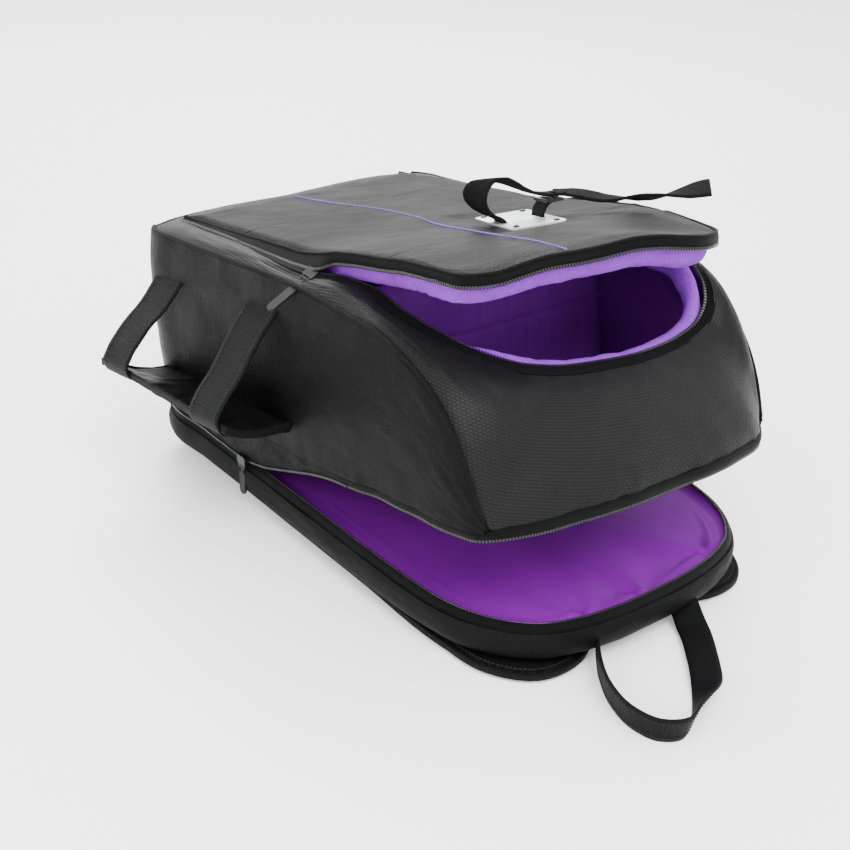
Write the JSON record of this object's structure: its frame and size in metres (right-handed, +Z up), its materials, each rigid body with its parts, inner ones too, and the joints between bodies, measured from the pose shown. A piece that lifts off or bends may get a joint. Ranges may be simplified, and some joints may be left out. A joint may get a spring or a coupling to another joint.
{
  "type": "drone carrying case",
  "caption": "Soft backpack case for a small drone, lying on its harness with the rear compartment and the front lid partly open.",
  "frame": {"origin": "underside of the middle back cushion, at the centre of the pack's plan", "axes": "+Z up from the floor the pack lies on, -Y towards its top end with the handle, +X across the back"},
  "size_m": [0.4664, 0.6167, 0.3275],
  "materials": {
    "outer_fabric": "coated fabric with a fine pebble grain",
    "end_fabric": "coated fabric embossed with a fine grid",
    "satin": "smooth satin lining",
    "lining": "matt quilted lining",
    "fleece": "brushed fleece",
    "webbing": "ribbed nylon webbing",
    "air_mesh": "open spacer mesh",
    "zip": "woven tape with a nylon coil",
    "hook_loop": "napped hook and loop tape",
    "zip_slider": "black lacquer",
    "pull_rubber": "moulded rubber",
    "plastic": "moulded acetal",
    "plate": "brushed, bright",
    "screws": "black oxide"
  },
  "bodies": {
    "back_panel": {"back_board": "outer_fabric", "band_wall": "outer_fabric", "rear_lining": "satin", "rear_pocket": "satin", "rear_zip_lower": "zip", "back_pad_top": "air_mesh", "back_pad_middle": "air_mesh", "back_pad_lumbar": "air_mesh", "strap_yoke": "webbing", "strap_wing_left": "webbing", "strap_wing_right": "webbing"},
    "strap_left": {"shoulder_strap_left": "outer_fabric", "strap_webbing_left": "webbing", "ladder_lock_left": "plastic"},
    "strap_right": {"shoulder_strap_right": "outer_fabric", "strap_webbing_right": "webbing", "ladder_lock_right": "plastic"},
    "handle": {"grab_handle": "webbing"},
    "main_body": {"side_panel_left": "outer_fabric", "side_panel_right": "outer_fabric", "top_end_panel": "end_fabric", "bottom_end_panel": "outer_fabric", "front_rim": "outer_fabric", "body_floor": "outer_fabric", "main_lining": "lining", "inner_divider": "lining", "opening_fleece": "fleece", "front_zip_lower": "zip", "rear_zip_upper": "zip", "side_piping_left": "webbing", "side_piping_right": "webbing", "side_loops_left": "webbing", "side_loops_right": "webbing", "side_shelf_left": "outer_fabric", "side_shelf_right": "outer_fabric"},
    "lid_rear": {"lid_rear_panel": "outer_fabric", "lid_rear_pad": "fleece", "lid_rear_zip": "zip"},
    "lid_front": {"lid_front_panel": "outer_fabric", "lid_front_pad": "fleece", "lid_front_zip": "zip", "mount_plate": "plate", "plate_screws": "screws", "plate_backing": "plate", "hook_loop_strap": "hook_loop", "strap_buckle": "plastic"},
    "lid_tip": {"lid_tip_panel": "outer_fabric", "lid_tip_pad": "fleece", "lid_tip_zip": "zip"},
    "rear_slider_left": {"rear_slider_left": "zip_slider"},
    "rear_slider_right": {"rear_slider_right": "zip_slider"},
    "rear_pull_left": {"rear_pull_left": "pull_rubber"},
    "rear_pull_right": {"rear_pull_right": "pull_rubber"},
    "front_slider_left": {"front_slider_left": "zip_slider"},
    "front_slider_right": {"front_slider_right": "zip_slider"},
    "front_pull_left": {"front_pull_left": "pull_rubber"},
    "front_pull_right": {"front_pull_right": "pull_rubber"}
  },
  "joints": [
    {"name": "rear_opening", "type": "hinge", "parent": "back_panel", "child": "main_body", "pos_m": [0, 0.26, 0.0476], "axis": [-1, 0, 0], "range_deg": [-9.3, 60]},
    {"name": "lid_hinge", "type": "hinge", "parent": "main_body", "child": "lid_rear", "pos_m": [0, 0.25138, 0.23009], "axis": [-1, 0, 0], "range_deg": [0, 110]},
    {"name": "lid_fold", "type": "hinge", "parent": "lid_rear", "child": "lid_front", "pos_m": [0, 0.04611, 0.26371], "axis": [-1, 0, 0], "range_deg": [-16.5, 60]},
    {"name": "lid_tip_fold", "type": "hinge", "parent": "lid_front", "child": "lid_tip", "pos_m": [0, -0.14719, 0.31334], "axis": [-1, 0, 0], "range_deg": [-44, 0]},
    {"name": "handle_swing", "type": "hinge", "parent": "back_panel", "child": "handle", "pos_m": [0, -0.265, 0.026], "axis": [-1, 0, 0], "range_deg": [0, 90]},
    {"name": "strap_swing_left", "type": "hinge", "parent": "back_panel", "child": "strap_left", "pos_m": [-0.044, -0.236, 0.0054], "axis": [0.1297, -0.9916, 0], "range_deg": [0, 75]},
    {"name": "strap_swing_right", "type": "hinge", "parent": "back_panel", "child": "strap_right", "pos_m": [0.044, -0.236, 0.0054], "axis": [0.1297, 0.9916, 0], "range_deg": [0, 75]},
    {"name": "rear_slide_left", "type": "slide", "parent": "back_panel", "child": "rear_slider_left", "axis": [0, -1, 0], "range_m": [-0.13, 0.258]},
    {"name": "rear_pull_swing_left", "type": "hinge", "parent": "rear_slider_left", "child": "rear_pull_left", "pos_m": [-0.1628, 0.108, 0.0416], "axis": [0, 1, 0], "range_deg": [0, 112]},
    {"name": "front_slide_left", "type": "slide", "parent": "main_body", "child": "front_slider_left", "axis": [0, -0.9963, -0.0854], "range_m": [-0.018, 0.14]},
    {"name": "front_pull_swing_left", "type": "hinge", "parent": "front_slider_left", "child": "front_pull_left", "pos_m": [-0.14962, 0.0252, 0.25173], "axis": [0, 0.9963, 0.0854], "range_deg": [0, 112]},
    {"name": "rear_slide_right", "type": "slide", "parent": "back_panel", "child": "rear_slider_right", "axis": [0, -1, 0], "range_m": [-0.13, 0.258]},
    {"name": "rear_pull_swing_right", "type": "hinge", "parent": "rear_slider_right", "child": "rear_pull_right", "pos_m": [0.1628, 0.108, 0.0416], "axis": [0, -1, 0], "range_deg": [0, 112]},
    {"name": "front_slide_right", "type": "slide", "parent": "main_body", "child": "front_slider_right", "axis": [0, -0.9963, -0.0854], "range_m": [-0.018, 0.14]},
    {"name": "front_pull_swing_right", "type": "hinge", "parent": "front_slider_right", "child": "front_pull_right", "pos_m": [0.14962, 0.0252, 0.25173], "axis": [0, -0.9963, -0.0854], "range_deg": [0, 112]}
  ]
}
